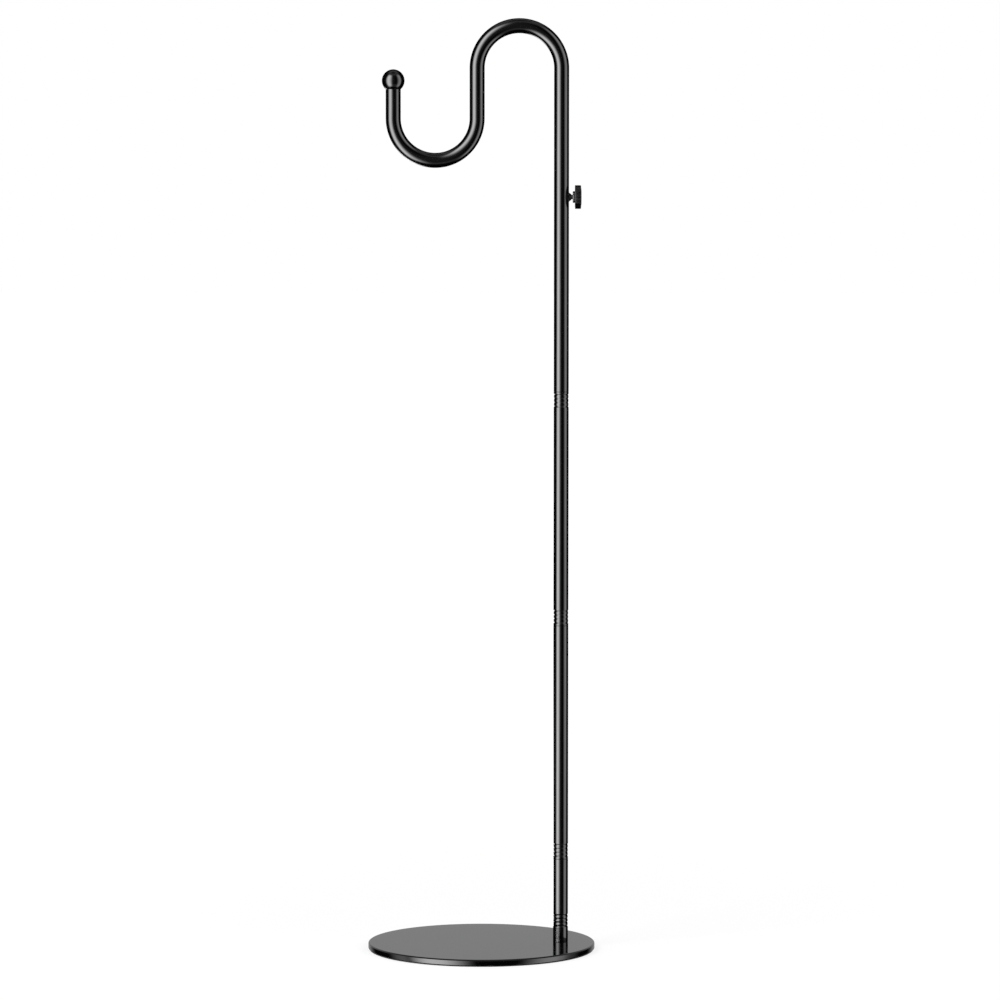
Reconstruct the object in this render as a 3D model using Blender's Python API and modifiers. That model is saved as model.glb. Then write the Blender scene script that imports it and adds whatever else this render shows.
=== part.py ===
"""A sectional shepherd's hook stand with a height-adjustable, turning hook.

Metres, +Z up. The origin is the middle of the base, on the floor. The pole stands
off the middle along +X, and the hook reaches back over the base along -X.
"""

import math

import bmesh
import bpy

# Base
BASE_RADIUS = 0.1219
BASE_THICKNESS = 0.0063
BASE_TOP_ROUND = 0.0014
BASE_BOTTOM_ROUND = 0.0006
PAD_THICKNESS = 0.001
PAD_INSET = 0.0012
PAD_KEY_HOLE_RADIUS = 0.0115

# Pole tubes, all of one drawn tube
POLE_EDGE_DISTANCE = 0.0367
TUBE_RADIUS = 0.008
TUBE_WALL = 0.0008
FOOT_TUBE_LENGTH = 0.0899
LOWER_TUBE_LENGTH = 0.2521
UPPER_TUBE_LENGTH = 0.251

# Rolled grooves that grip the inserts
GROOVE_COUNT = 4
GROOVE_PITCH = 0.0042
GROOVE_HALF_WIDTH = 0.0011
GROOVE_DEPTH = 0.0006
GROOVE_RIDGE_DROP = 0.0002
GROOVE_BULGE = 0.0003
GROOVE_END_DISTANCE = 0.0029
FOOT_GROOVE_PITCH = 0.0039
FOOT_GROOVE_HEIGHT = 0.0173

# Bent hook tube
HOOK_LEG_LENGTH = 0.3451
ARCH_BEND_RADIUS = 0.045
MIDDLE_ARM_LENGTH = 0.0535
BOWL_BEND_RADIUS = 0.0447
TIP_ARM_LENGTH = 0.0316

# Ball on the tip
BALL_RADIUS = 0.0121
BALL_FOOT_DISTANCE = 0.0081
BALL_HOLE_DEPTH = 0.0095
TIP_PLUG_LENGTH = 0.014
TIP_STUD_RADIUS = 0.003
TIP_STUD_LENGTH = 0.0075

# Foot and joint hardware
BOLT_RADIUS = 0.004
BOLT_LENGTH = 0.03
BOLT_HEAD_RADIUS = 0.008
BOLT_HEAD_HEIGHT = 0.0044
BOLT_KEY_WIDTH = 0.005
BOLT_KEY_DEPTH = 0.003
FOOT_INSERT_LENGTH = 0.0375
JOINT_INSERT_LENGTH = 0.028
JOINT_PLUG_LENGTH = 0.024
JOINT_STUD_RADIUS = 0.004
JOINT_STUD_LENGTH = 0.022
THREAD_END_CHAMFER = 0.0006

# Mast inside the hook's leg
HOOK_TRAVEL = 0.1
MAST_RADIUS = 0.0055
MAST_WALL = 0.001
MAST_HOLD_LENGTH = 0.055
MAST_TOP_SPARE = 0.008
MAST_HEAD_ROOM = 0.0292
SLEEVE_LENGTH = 0.042
CAP_HEAD_HEIGHT = 0.006
CAP_PLUG_LENGTH = 0.014
CAP_EDGE_CHAMFER = 0.0012
BUSH_LENGTH = 0.02

# Thumb screw
SCREW_RADIUS = 0.0025
SCREW_NECK_LENGTH = 0.0015
SCREW_GRIP_DEPTH = 0.0055
SCREW_PAD_RADIUS = 0.0022
SCREW_PAD_THICKNESS = 0.0012
BOSS_FOOT_RADIUS = 0.005
BOSS_TIP_RADIUS = 0.0031
BOSS_HEIGHT = 0.0025
KNOB_RADIUS = 0.0126
KNOB_THICKNESS = 0.0069
KNOB_LOBES = 12
KNOB_SCALLOP = 0.0006
KNOB_EDGE_ROUND = 0.0007
KNOB_DOME_HEIGHT = 0.0005
KNOB_DOME_RADIUS = 0.0105
HUB_LENGTH = 0.0024
HUB_BACK_RADIUS = 0.0061
HUB_FRONT_RADIUS = 0.0063
HUB_EDGE_ROUND = 0.0006

# Fits
GAP = 0.0003
CUT_OVERRUN = 0.002
MERGE_DISTANCE = 0.00001

# Smoothness, in faces round a piece
BASE_STEPS = 56
TUBE_STEPS = 24
SMALL_STEPS = 16
BALL_STEPS = 24
BALL_RINGS = 12
BEND_SEGMENTS = 14
KNOB_POINTS_PER_LOBE = 4

# Places that follow from the sizes above
POLE_OFFSET = BASE_RADIUS - POLE_EDGE_DISTANCE
TUBE_BORE = TUBE_RADIUS - TUBE_WALL
PLUG_RADIUS = TUBE_BORE - GAP
PLATE_BOTTOM = PAD_THICKNESS + GAP
PLATE_TOP = PLATE_BOTTOM + BASE_THICKNESS
FOOT_TUBE_BOTTOM = PLATE_TOP + GAP
FOOT_TUBE_TOP = FOOT_TUBE_BOTTOM + FOOT_TUBE_LENGTH
LOWER_TUBE_BOTTOM = FOOT_TUBE_TOP + GAP
LOWER_TUBE_TOP = LOWER_TUBE_BOTTOM + LOWER_TUBE_LENGTH
UPPER_TUBE_BOTTOM = LOWER_TUBE_TOP + GAP
UPPER_TUBE_TOP = UPPER_TUBE_BOTTOM + UPPER_TUBE_LENGTH
HOOK_BOTTOM = UPPER_TUBE_TOP + GAP
ARCH_CENTRE_HEIGHT = HOOK_BOTTOM + HOOK_LEG_LENGTH
BOWL_CENTRE_HEIGHT = ARCH_CENTRE_HEIGHT - MIDDLE_ARM_LENGTH
TIP_TOP = BOWL_CENTRE_HEIGHT + TIP_ARM_LENGTH
BALL_CENTRE_HEIGHT = TIP_TOP + GAP + BALL_FOOT_DISTANCE
MAST_TOP = ARCH_CENTRE_HEIGHT - MAST_HEAD_ROOM
CLAMP_HEIGHT = MAST_TOP - MAST_TOP_SPARE - HOOK_TRAVEL
MAST_BOTTOM = UPPER_TUBE_TOP - MAST_HOLD_LENGTH

# Distances from the pole's axis, out along the thumb screw
PAD_INNER_END = MAST_RADIUS + GAP
PAD_OUTER_END = PAD_INNER_END + SCREW_PAD_THICKNESS
SCREW_INNER_END = PAD_OUTER_END + GAP
BOSS_TIP = TUBE_RADIUS + BOSS_HEIGHT
HUB_BACK = BOSS_TIP + SCREW_NECK_LENGTH
KNOB_BACK = HUB_BACK + HUB_LENGTH
KNOB_FRONT = KNOB_BACK + KNOB_THICKNESS
SCREW_OUTER_END = HUB_BACK + SCREW_GRIP_DEPTH

# Distances from the pole's axis, along the hook
MIDDLE_ARM_REACH = ARCH_BEND_RADIUS + ARCH_BEND_RADIUS
TIP_REACH = MIDDLE_ARM_REACH + BOWL_BEND_RADIUS + BOWL_BEND_RADIUS

FULL_TURN = 2 * math.pi
HALF_TURN = math.pi
QUARTER_TURN = math.pi / 2


# Scene, collections and materials


def clear_scene():
    for thing in list(bpy.data.objects):
        bpy.data.objects.remove(thing, do_unlink=True)


def new_collection(name):
    collection = bpy.data.collections.new(name)
    bpy.context.scene.collection.children.link(collection)
    return collection


def new_material(name, colour, roughness, metallic=0.0):
    material = bpy.data.materials.new(name)
    material.use_nodes = True
    shader = material.node_tree.nodes["Principled BSDF"]
    shader.inputs["Base Color"].default_value = (*colour, 1.0)
    shader.inputs["Roughness"].default_value = roughness
    shader.inputs["Metallic"].default_value = metallic
    return material


def new_empty(name, parent, location):
    empty = bpy.data.objects.new(name, None)
    empty.parent = parent
    empty.location = location
    parts.objects.link(empty)
    return empty


# Shape helpers


def add_object(name, mesh, collection=None, material=None, parent=None, location=(0, 0, 0)):
    thing = bpy.data.objects.new(name, mesh)
    (collection or parts).objects.link(thing)
    thing.parent = parent
    thing.location = location
    if material:
        mesh.materials.append(material)
    return thing


def turned(name, profile, steps, **placing):
    """Turns a profile of (radius, height) points, listed down its outer side, about Z."""
    mesh = bpy.data.meshes.new(name)
    points = [(radius, 0, height) for radius, height in profile]
    closed = profile[0][0] > 0
    edges = [(index, index + 1) for index in range(len(points) - 1)]
    if closed:
        edges.append((len(points) - 1, 0))
    mesh.from_pydata(points, edges, [])
    thing = add_object(name, mesh, **placing)
    screw = thing.modifiers.new("turn", "SCREW")
    screw.angle = FULL_TURN
    screw.steps = steps
    screw.render_steps = steps
    screw.use_merge_vertices = True
    screw.merge_threshold = MERGE_DISTANCE
    screw.use_smooth_shade = True
    return thing


def tube_profile(outer, inner):
    """Closes an outer side, listed downwards, with a bore that is listed downwards too."""
    return outer + inner[::-1]


def rolled_side(radius, depth, heights, crest_drop=0.0, crest_half_width=0.0):
    """One wall through a group of rolled grooves, listed downwards, with crests between them."""
    heights = sorted(heights, reverse=True)
    side = [(radius, heights[0] + GROOVE_HALF_WIDTH)]
    for groove, next_groove in zip(heights, heights[1:]):
        crest = (groove + next_groove) / 2
        side.append((radius - depth, groove))
        side.append((radius - crest_drop, crest + crest_half_width))
        if crest_half_width:
            side.append((radius - crest_drop, crest - crest_half_width))
    side.append((radius - depth, heights[-1]))
    side.append((radius, heights[-1] - GROOVE_HALF_WIDTH))
    return side


def groove_heights(lowest, pitch):
    return [lowest + pitch * index for index in range(GROOVE_COUNT)]


def cylinder_profile(radius, bottom, top, chamfer=0.0):
    """A solid rod from its top down, with a chamfer at each end if one is given."""
    if not chamfer:
        return [(0, top), (radius, top), (radius, bottom), (0, bottom)]
    return [
        (0, top),
        (radius - chamfer, top),
        (radius, top - chamfer),
        (radius, bottom + chamfer),
        (radius - chamfer, bottom),
        (0, bottom),
    ]


def cutter(name, profile, steps, location, rotation=(0, 0, 0)):
    thing = turned(name, profile, steps, collection=cutters, location=location)
    thing.rotation_euler = rotation
    thing.hide_render = True
    thing.display_type = "WIRE"
    return thing


def cut(thing, tool, operation="DIFFERENCE"):
    boolean = thing.modifiers.new(tool.name, "BOOLEAN")
    boolean.operation = operation
    boolean.solver = "EXACT"
    boolean.object = tool


def along_screw(thing):
    """Lays a piece that was turned about Z along +X, the thumb screw's axis."""
    thing.rotation_euler = (0, QUARTER_TURN, 0)
    return thing


# Base


def make_base_plate():
    top = BASE_TOP_ROUND
    bottom = BASE_BOTTOM_ROUND
    profile = [
        (0, BASE_THICKNESS),
        (BASE_RADIUS - top, BASE_THICKNESS),
        (BASE_RADIUS - top / 3, BASE_THICKNESS - top / 3),
        (BASE_RADIUS, BASE_THICKNESS - top),
        (BASE_RADIUS, bottom),
        (BASE_RADIUS - bottom / 3, bottom / 3),
        (BASE_RADIUS - bottom, 0),
        (0, 0),
    ]
    plate = turned(
        "base_plate", profile, BASE_STEPS, material=black_enamel, parent=stand, location=(0, 0, PLATE_BOTTOM)
    )
    sink = [
        (0, BASE_THICKNESS + CUT_OVERRUN),
        (BOLT_RADIUS + GAP, BASE_THICKNESS + CUT_OVERRUN),
        (BOLT_RADIUS + GAP, BOLT_HEAD_HEIGHT + GAP),
        (BOLT_HEAD_RADIUS + GAP, GAP),
        (BOLT_HEAD_RADIUS + GAP, -CUT_OVERRUN),
        (0, -CUT_OVERRUN),
    ]
    cut(plate, cutter("bolt_hole", sink, TUBE_STEPS, (POLE_OFFSET, 0, PLATE_BOTTOM)))


def make_base_pad():
    profile = cylinder_profile(BASE_RADIUS - PAD_INSET, 0, PAD_THICKNESS)
    pad = turned("base_pad", profile, BASE_STEPS, material=black_foam, parent=stand)
    hole = cylinder_profile(PAD_KEY_HOLE_RADIUS, -CUT_OVERRUN, PAD_THICKNESS + CUT_OVERRUN)
    cut(pad, cutter("key_hole", hole, TUBE_STEPS, (POLE_OFFSET, 0, 0)))


def make_base_bolt():
    profile = [
        (0, BOLT_LENGTH),
        (BOLT_RADIUS - THREAD_END_CHAMFER, BOLT_LENGTH),
        (BOLT_RADIUS, BOLT_LENGTH - THREAD_END_CHAMFER),
        (BOLT_RADIUS, BOLT_HEAD_HEIGHT),
        (BOLT_HEAD_RADIUS, 0),
        (0, 0),
    ]
    place = (POLE_OFFSET, 0, PLATE_BOTTOM + GAP)
    bolt = turned("base_bolt", profile, TUBE_STEPS, material=zinc_steel, parent=stand, location=place)
    key_radius = BOLT_KEY_WIDTH / 2 / math.cos(HALF_TURN / 6)
    socket = cylinder_profile(key_radius, -CUT_OVERRUN, BOLT_KEY_DEPTH)
    cut(bolt, cutter("key_socket", socket, 6, place))


# Pole


def make_pole_tube(name, bottom, top, groove_groups):
    """A straight tube; each group of grooves is its lowest height and its pitch."""
    outer = [(TUBE_RADIUS, top)]
    bore = [(TUBE_BORE, top)]
    for lowest, pitch in sorted(groove_groups, reverse=True):
        heights = groove_heights(lowest, pitch)
        crest_half_width = pitch / 2 - GROOVE_HALF_WIDTH
        outer += rolled_side(TUBE_RADIUS, GROOVE_DEPTH, heights, GROOVE_RIDGE_DROP, crest_half_width)
        bore += rolled_side(TUBE_BORE, GROOVE_BULGE, heights)
    outer.append((TUBE_RADIUS, bottom))
    bore.append((TUBE_BORE, bottom))
    profile = tube_profile(outer, bore)
    turned(name, profile, TUBE_STEPS, material=black_enamel, parent=pole_axis)


def make_gripped_insert(name, bottom, top, bore, lowest_groove, pitch, material):
    """A turned sleeve or insert whose own grooves lie inside the rolled ones."""
    heights = groove_heights(lowest_groove, pitch)
    outer = [(PLUG_RADIUS, top)]
    outer += rolled_side(PLUG_RADIUS, GROOVE_BULGE, heights)
    outer.append((PLUG_RADIUS, bottom))
    profile = tube_profile(outer, [(bore, top), (bore, bottom)])
    turned(name, profile, SMALL_STEPS, material=material, parent=pole_axis)


def make_joint_stud(name, tube_top):
    """A plug in the top of a tube, with the stud that the next tube screws onto."""
    chamfer = THREAD_END_CHAMFER
    stud_top = tube_top + JOINT_STUD_LENGTH
    plug_bottom = tube_top - JOINT_PLUG_LENGTH
    profile = [
        (0, stud_top),
        (JOINT_STUD_RADIUS - chamfer, stud_top),
        (JOINT_STUD_RADIUS, stud_top - chamfer),
        (JOINT_STUD_RADIUS, tube_top),
        (PLUG_RADIUS, tube_top),
        (PLUG_RADIUS, plug_bottom + chamfer),
        (PLUG_RADIUS - chamfer, plug_bottom),
        (0, plug_bottom),
    ]
    turned(name, profile, TUBE_STEPS, material=zinc_steel, parent=pole_axis)


def make_pole():
    foot_groove = FOOT_TUBE_BOTTOM + FOOT_GROOVE_HEIGHT
    lower_groove = LOWER_TUBE_BOTTOM + GROOVE_END_DISTANCE
    upper_groove = UPPER_TUBE_BOTTOM + GROOVE_END_DISTANCE
    top_groove = UPPER_TUBE_TOP - GROOVE_END_DISTANCE - GROOVE_PITCH * (GROOVE_COUNT - 1)
    stud_bore = JOINT_STUD_RADIUS + GAP

    make_pole_tube("foot_tube", FOOT_TUBE_BOTTOM, FOOT_TUBE_TOP, [(foot_groove, FOOT_GROOVE_PITCH)])
    make_pole_tube("lower_tube", LOWER_TUBE_BOTTOM, LOWER_TUBE_TOP, [(lower_groove, GROOVE_PITCH)])
    make_pole_tube(
        "upper_tube",
        UPPER_TUBE_BOTTOM,
        UPPER_TUBE_TOP,
        [(upper_groove, GROOVE_PITCH), (top_groove, GROOVE_PITCH)],
    )
    make_gripped_insert(
        "foot_insert",
        FOOT_TUBE_BOTTOM,
        FOOT_TUBE_BOTTOM + FOOT_INSERT_LENGTH,
        BOLT_RADIUS + GAP,
        foot_groove,
        FOOT_GROOVE_PITCH,
        zinc_steel,
    )
    for name, bottom, groove in (
        ("lower_joint_insert", LOWER_TUBE_BOTTOM, lower_groove),
        ("upper_joint_insert", UPPER_TUBE_BOTTOM, upper_groove),
    ):
        make_gripped_insert(
            name, bottom, bottom + JOINT_INSERT_LENGTH, stud_bore, groove, GROOVE_PITCH, zinc_steel
        )
    make_joint_stud("lower_joint_stud", FOOT_TUBE_TOP)
    make_joint_stud("upper_joint_stud", LOWER_TUBE_TOP)
    make_gripped_insert(
        "mast_sleeve",
        UPPER_TUBE_TOP - SLEEVE_LENGTH,
        UPPER_TUBE_TOP,
        MAST_RADIUS + GAP,
        top_groove,
        GROOVE_PITCH,
        zinc_steel,
    )


# Mast


def make_mast():
    bore = MAST_RADIUS - MAST_WALL
    outer = [(MAST_RADIUS, MAST_TOP), (MAST_RADIUS, MAST_BOTTOM)]
    profile = tube_profile(outer, [(bore, MAST_TOP), (bore, MAST_BOTTOM)])
    turned("mast", profile, TUBE_STEPS, material=black_enamel, parent=pole_axis)

    head_bottom = MAST_TOP + GAP
    head_top = head_bottom + CAP_HEAD_HEIGHT
    cap_profile = [
        (0, head_top),
        (PLUG_RADIUS - CAP_EDGE_CHAMFER, head_top),
        (PLUG_RADIUS, head_top - CAP_EDGE_CHAMFER),
        (PLUG_RADIUS, head_bottom),
        (bore - GAP, head_bottom),
        (bore - GAP, head_bottom - CAP_PLUG_LENGTH),
        (0, head_bottom - CAP_PLUG_LENGTH),
    ]
    turned("mast_cap", cap_profile, TUBE_STEPS, material=nylon, parent=pole_axis)


def make_guide_bush():
    bottom = HOOK_BOTTOM + GAP
    top = bottom + BUSH_LENGTH
    bore = MAST_RADIUS + GAP
    outer = [(PLUG_RADIUS, top), (PLUG_RADIUS, bottom)]
    profile = tube_profile(outer, [(bore, top), (bore, bottom)])
    turned("guide_bush", profile, TUBE_STEPS, material=nylon, parent=hook_slide)


# Hook


def bend_points(centre_x, centre_z, radius, start_angle, turn):
    """Points round a half circle in the XZ plane, its two ends included."""
    points = []
    for index in range(BEND_SEGMENTS + 1):
        angle = start_angle + turn * index / BEND_SEGMENTS
        points.append((centre_x + radius * math.cos(angle), 0, centre_z + radius * math.sin(angle)))
    return points


def hook_path():
    """The bent tube's centre line, from its mouth on the pole's axis to its tip."""
    arch_x = -ARCH_BEND_RADIUS
    bowl_x = -MIDDLE_ARM_REACH - BOWL_BEND_RADIUS
    path = [(0, 0, HOOK_BOTTOM)]
    path += bend_points(arch_x, ARCH_CENTRE_HEIGHT, ARCH_BEND_RADIUS, 0, HALF_TURN)
    path += bend_points(bowl_x, BOWL_CENTRE_HEIGHT, BOWL_BEND_RADIUS, 0, -HALF_TURN)
    path.append((-TIP_REACH, 0, TIP_TOP))
    return path


def make_hook_tube():
    curve = bpy.data.curves.new("hook_tube", "CURVE")
    curve.dimensions = "3D"
    curve.bevel_depth = TUBE_RADIUS
    curve.bevel_resolution = TUBE_STEPS // 2 - 2
    curve.use_fill_caps = False
    spline = curve.splines.new("POLY")
    path = hook_path()
    spline.points.add(len(path) - 1)
    for point, place in zip(spline.points, path):
        point.co = (*place, 1)
    bend = add_object("hook_bend", curve, parent=hook_turn)
    bpy.context.view_layer.update()

    mesh = bpy.data.meshes.new_from_object(bend.evaluated_get(bpy.context.evaluated_depsgraph_get()))
    bpy.data.objects.remove(bend, do_unlink=True)
    shape = bmesh.new()
    shape.from_mesh(mesh)
    bmesh.ops.remove_doubles(shape, verts=shape.verts, dist=MERGE_DISTANCE)
    bmesh.ops.recalc_face_normals(shape, faces=shape.faces)
    shape.to_mesh(mesh)
    shape.free()
    mesh.name = "hook_tube"
    mesh.shade_smooth()
    tube = add_object("hook_tube", mesh, material=black_enamel, parent=hook_turn)
    wall = tube.modifiers.new("wall", "SOLIDIFY")
    wall.thickness = TUBE_WALL
    wall.offset = -1

    reach = TUBE_RADIUS + CUT_OVERRUN
    hole = cylinder_profile(SCREW_RADIUS + GAP, 0, reach)
    place = (POLE_OFFSET, 0, CLAMP_HEIGHT)
    cut(tube, cutter("clamp_hole", hole, SMALL_STEPS, place, (0, QUARTER_TURN, 0)))


def make_tip_plug():
    chamfer = THREAD_END_CHAMFER
    stud_top = TIP_TOP + TIP_STUD_LENGTH
    plug_bottom = TIP_TOP - TIP_PLUG_LENGTH
    profile = [
        (0, stud_top),
        (TIP_STUD_RADIUS - chamfer, stud_top),
        (TIP_STUD_RADIUS, stud_top - chamfer),
        (TIP_STUD_RADIUS, TIP_TOP),
        (PLUG_RADIUS, TIP_TOP),
        (PLUG_RADIUS, plug_bottom),
        (0, plug_bottom),
    ]
    place = (-TIP_REACH, 0, 0)
    turned("tip_plug", profile, SMALL_STEPS, material=zinc_steel, parent=hook_turn, location=place)


def make_ball_finial():
    """A ball with a flat foot and a blind hole for the tip's stud."""
    foot_angle = math.asin(BALL_FOOT_DISTANCE / BALL_RADIUS)
    sweep = QUARTER_TURN + foot_angle
    profile = [(0, BALL_RADIUS)]
    for index in range(1, BALL_RINGS + 1):
        angle = QUARTER_TURN - sweep * index / BALL_RINGS
        profile.append((BALL_RADIUS * math.cos(angle), BALL_RADIUS * math.sin(angle)))
    hole_radius = TIP_STUD_RADIUS + GAP
    hole_top = BALL_HOLE_DEPTH - BALL_FOOT_DISTANCE
    profile += [(hole_radius, -BALL_FOOT_DISTANCE), (hole_radius, hole_top), (0, hole_top)]
    place = (-TIP_REACH, 0, BALL_CENTRE_HEIGHT)
    turned("ball_finial", profile, BALL_STEPS, material=black_enamel, parent=hook_turn, location=place)


# Thumb screw


def make_clamp_boss():
    """A tapped cone that saddles the hook's leg."""
    bore = SCREW_RADIUS + GAP
    profile = [
        (BOSS_TIP_RADIUS, BOSS_TIP),
        (BOSS_FOOT_RADIUS, TUBE_RADIUS),
        (BOSS_FOOT_RADIUS, TUBE_BORE - GAP),
        (bore, TUBE_BORE - GAP),
        (bore, BOSS_TIP),
    ]
    place = (0, 0, CLAMP_HEIGHT)
    boss = along_screw(
        turned("clamp_boss", profile, TUBE_STEPS, material=black_enamel, parent=hook_turn, location=place)
    )
    reach = BOSS_FOOT_RADIUS + CUT_OVERRUN
    saddle = cylinder_profile(TUBE_RADIUS + GAP, -reach, reach)
    cut(boss, cutter("boss_saddle", saddle, TUBE_STEPS * 2, (POLE_OFFSET, 0, CLAMP_HEIGHT)))


def make_clamp_pad():
    profile = cylinder_profile(SCREW_PAD_RADIUS, PAD_INNER_END, PAD_OUTER_END)
    along_screw(turned("clamp_pad", profile, SMALL_STEPS, material=nylon, parent=clamp_slide))


def make_clamp_screw():
    profile = cylinder_profile(SCREW_RADIUS, SCREW_INNER_END, SCREW_OUTER_END, THREAD_END_CHAMFER)
    along_screw(turned("clamp_screw", profile, SMALL_STEPS, material=black_screw, parent=clamp_turn))


def knob_head_mesh():
    """A scalloped disc from a circle that is pushed in between its lobes, then extruded."""
    shape = bmesh.new()
    count = KNOB_LOBES * KNOB_POINTS_PER_LOBE
    bmesh.ops.create_circle(shape, cap_ends=True, segments=count, radius=KNOB_RADIUS)
    for vertex in shape.verts:
        angle = math.atan2(vertex.co.y, vertex.co.x)
        dip = KNOB_SCALLOP * (1 - math.cos(angle * KNOB_LOBES)) / 2
        vertex.co *= 1 - dip / KNOB_RADIUS
        vertex.co.z = KNOB_BACK
    raised = bmesh.ops.extrude_face_region(shape, geom=shape.faces[:])["geom"]
    front = [item for item in raised if isinstance(item, bmesh.types.BMFace)]
    for vertex in front[0].verts:
        vertex.co.z = KNOB_FRONT - KNOB_DOME_HEIGHT
    bmesh.ops.recalc_face_normals(shape, faces=shape.faces)
    rims = [edge for edge in shape.edges if edge.verts[0].co.z == edge.verts[1].co.z]
    bmesh.ops.bevel(
        shape, geom=rims, offset=KNOB_EDGE_ROUND, segments=2, profile=0.5, affect="EDGES", clamp_overlap=True
    )
    front = max(shape.faces, key=lambda face: face.calc_center_median().z)
    inset = KNOB_RADIUS - KNOB_EDGE_ROUND - KNOB_DOME_RADIUS
    bmesh.ops.inset_individual(shape, faces=[front], thickness=inset, depth=KNOB_DOME_HEIGHT)
    mesh = bpy.data.meshes.new("clamp_knob")
    shape.to_mesh(mesh)
    shape.free()
    return mesh


def make_clamp_knob():
    mesh = knob_head_mesh()
    mesh.shade_smooth()
    knob = along_screw(add_object("clamp_knob", mesh, material=moulded_plastic, parent=clamp_turn))
    inside = KNOB_BACK + KNOB_THICKNESS / 2
    hub = [
        (0, inside),
        (HUB_FRONT_RADIUS, inside),
        (HUB_FRONT_RADIUS, KNOB_BACK),
        (HUB_BACK_RADIUS, HUB_BACK + HUB_EDGE_ROUND),
        (HUB_BACK_RADIUS - HUB_EDGE_ROUND, HUB_BACK),
        (0, HUB_BACK),
    ]
    place = (POLE_OFFSET, 0, CLAMP_HEIGHT)
    turned_flat = (0, QUARTER_TURN, 0)
    cut(knob, cutter("knob_hub", hub, TUBE_STEPS, place, turned_flat), "UNION")
    hole = cylinder_profile(SCREW_RADIUS + GAP, HUB_BACK - CUT_OVERRUN, SCREW_OUTER_END + GAP)
    cut(knob, cutter("knob_bore", hole, SMALL_STEPS, place, turned_flat))


clear_scene()
parts = new_collection("shepherds_hook_stand")
cutters = new_collection("cutters")

black_enamel = new_material("gloss_black_enamel", (0.012, 0.012, 0.012), 0.12)
moulded_plastic = new_material("black_moulded_plastic", (0.015, 0.015, 0.015), 0.35)
black_foam = new_material("black_foam_rubber", (0.02, 0.02, 0.02), 0.9)
zinc_steel = new_material("zinc_plated_steel", (0.62, 0.62, 0.6), 0.3, 1.0)
black_screw = new_material("blackened_steel", (0.03, 0.03, 0.03), 0.3, 0.6)
nylon = new_material("natural_nylon", (0.75, 0.73, 0.68), 0.45)

# The tree of moving frames: the pole stands on the base, the hook slides up the
# mast and then turns on it, and the thumb screw winds in and out of its boss.
stand = new_empty("stand", None, (0, 0, 0))
pole_axis = new_empty("pole_axis", stand, (POLE_OFFSET, 0, 0))
hook_slide = new_empty("hook_slide", pole_axis, (0, 0, 0))
hook_turn = new_empty("hook_turn", hook_slide, (0, 0, 0))
clamp_slide = new_empty("clamp_slide", hook_turn, (0, 0, CLAMP_HEIGHT))
clamp_turn = new_empty("clamp_turn", clamp_slide, (0, 0, 0))

make_base_plate()
make_base_pad()
make_base_bolt()
make_pole()
make_mast()
make_guide_bush()
make_hook_tube()
make_tip_plug()
make_ball_finial()
make_clamp_boss()
make_clamp_pad()
make_clamp_screw()
make_clamp_knob()
bpy.context.view_layer.update()
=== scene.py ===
# %% [markdown]
# # A gloss black shepherd's hook stand
#
# This lesson dresses a finished mechanical model. The model comes first, as a frame of
# plain solids that already have their true sizes, their places and their joints. Each
# visible piece is then modelled again with a finer surface, and every piece, seen or
# hidden, gets the finish of its real material.
#
# The stand is almost all black gloss, so it has next to no colour of its own. What shows
# its roundness is what it mirrors. The light is therefore as much work as the shapes.

# %% Load the frame
import math

import bmesh
import bpy
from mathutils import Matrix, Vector


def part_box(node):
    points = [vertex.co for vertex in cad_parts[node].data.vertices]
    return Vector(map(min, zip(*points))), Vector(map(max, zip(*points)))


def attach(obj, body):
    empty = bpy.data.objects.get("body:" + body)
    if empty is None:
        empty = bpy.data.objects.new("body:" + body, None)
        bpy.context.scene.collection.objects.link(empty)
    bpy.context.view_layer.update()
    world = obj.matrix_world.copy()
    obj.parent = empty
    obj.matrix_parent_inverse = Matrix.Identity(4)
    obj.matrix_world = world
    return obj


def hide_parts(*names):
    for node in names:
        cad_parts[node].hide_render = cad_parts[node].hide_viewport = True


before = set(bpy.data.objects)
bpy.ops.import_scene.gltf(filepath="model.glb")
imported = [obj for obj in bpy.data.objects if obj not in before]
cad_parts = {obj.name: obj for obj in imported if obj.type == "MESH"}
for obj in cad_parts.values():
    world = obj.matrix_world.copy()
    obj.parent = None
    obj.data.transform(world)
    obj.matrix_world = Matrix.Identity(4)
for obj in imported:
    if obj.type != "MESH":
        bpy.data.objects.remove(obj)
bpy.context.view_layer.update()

print("nodes in the frame:", len(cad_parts))

# %% [markdown]
# ## The camera
#
# The photograph is a product shot from far off: the pole hardly narrows towards the top.
# A long lens at about six metres gives that flat look. The camera is level with the top
# of the hook and looks a little down, so the round base shows as a thin ellipse. It is
# placed with given numbers here and not by a constraint, because its tilt was worked out
# from how flat the ellipse is, and its slight roll from how the pole leans.

# %% Place the camera
CAMERA_PLACE = (0.0195, -6.0391, 0.9914)
CAMERA_TILT_DOWN = math.radians(4.79)
CAMERA_ROLL = math.radians(-0.03)
LENS_MM = 203.6
FARTHEST_SEEN = 60

camera_data = bpy.data.cameras.new("camera")
camera_data.lens = LENS_MM
camera_data.clip_end = FARTHEST_SEEN
camera = bpy.data.objects.new("camera", camera_data)
camera.location = CAMERA_PLACE
camera.rotation_euler = (math.pi / 2 - CAMERA_TILT_DOWN, CAMERA_ROLL, 0)
bpy.context.scene.collection.objects.link(camera)
bpy.context.scene.camera = camera
bpy.context.scene.view_settings.view_transform = "Standard"
print("camera is", round(-CAMERA_PLACE[1], 2), "m in front of the stand")

# %% [markdown]
# ## Nodes and colours for the materials
#
# Colours are easier to choose as the hex values that a paint chart or an image editor
# shows. The shader wants linear light, so one function turns them. Another function adds
# a node, gives it its settings and plugs other nodes into it. With those two, a material
# reads as a short list.

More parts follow.
